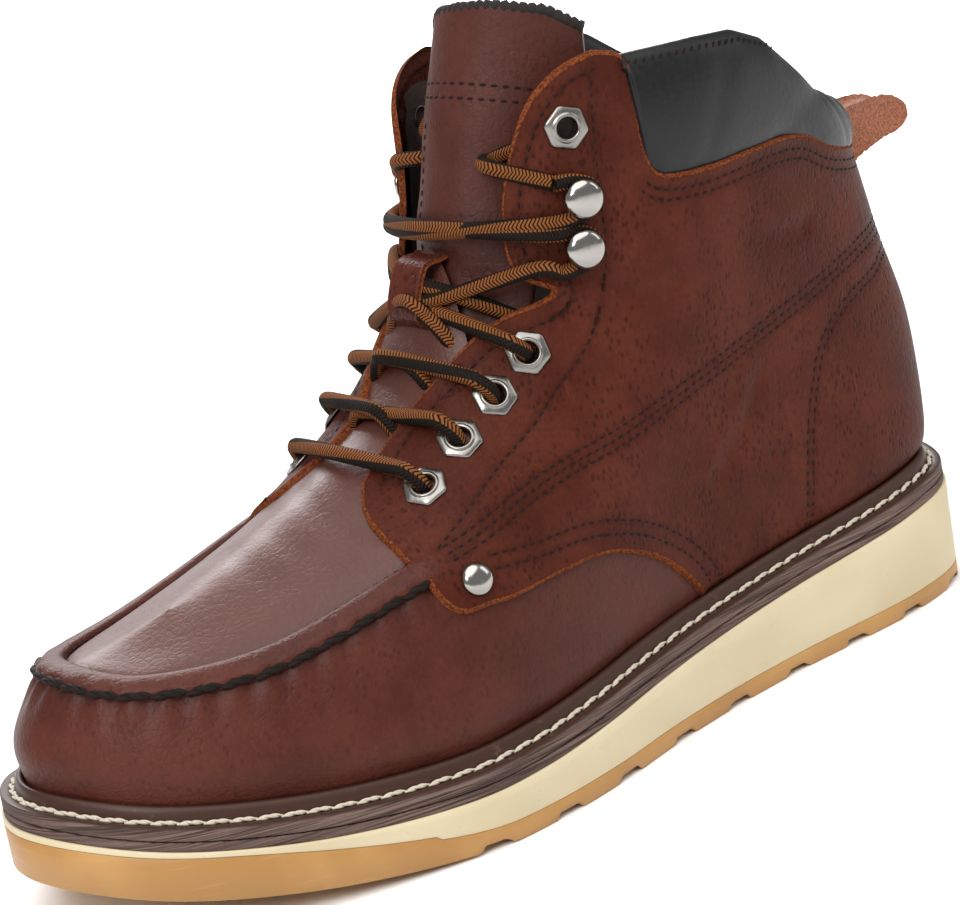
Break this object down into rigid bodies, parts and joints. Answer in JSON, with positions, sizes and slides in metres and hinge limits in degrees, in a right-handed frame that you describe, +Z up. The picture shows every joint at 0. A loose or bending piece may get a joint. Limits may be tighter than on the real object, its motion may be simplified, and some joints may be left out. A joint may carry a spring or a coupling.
{
  "type": "work boot",
  "caption": "Lace-up ankle work boot with a moccasin toe, padded collar, welted upper and a flat wedge sole that is thick at the heel.",
  "frame": {"origin": "middle of the footprint's box, on the floor", "axes": "+X from the heel to the toe, +Y to the outer side of the left foot, +Z up"},
  "size_m": [0.3146, 0.1124, 0.1959],
  "materials": {
    "gum": "satin",
    "cream": "matte",
    "midsole_edge": "matte",
    "welt": "satin",
    "insole": "matte",
    "leather": "satin",
    "suede": "matte",
    "collar": "satin",
    "nickel": "satin",
    "lace": "matte"
  },
  "bodies": {
    "root": {"outsole": "gum", "wedge_midsole": "cream", "leather_midsole": "midsole_edge", "storm_welt": "welt", "insole": "insole", "upper": "leather", "collar_pad": "collar", "backstay": "leather", "pull_loop": "suede", "tongue": "leather", "lace_keeper": "leather", "eyelet_lateral_1": "nickel", "eyelet_lateral_2": "nickel", "eyelet_lateral_3": "nickel", "eyelet_lateral_4": "nickel", "eyelet_lateral_5": "nickel", "hook_lateral_1": "nickel", "hook_lateral_2": "nickel", "rivet_lateral": "nickel", "eyelet_medial_1": "nickel", "eyelet_medial_2": "nickel", "eyelet_medial_3": "nickel", "eyelet_medial_4": "nickel", "eyelet_medial_5": "nickel", "hook_medial_1": "nickel", "hook_medial_2": "nickel", "rivet_medial": "nickel", "laces": "lace", "lace_end_lateral": "lace", "lace_end_medial": "lace"}
  },
  "joints": []
}
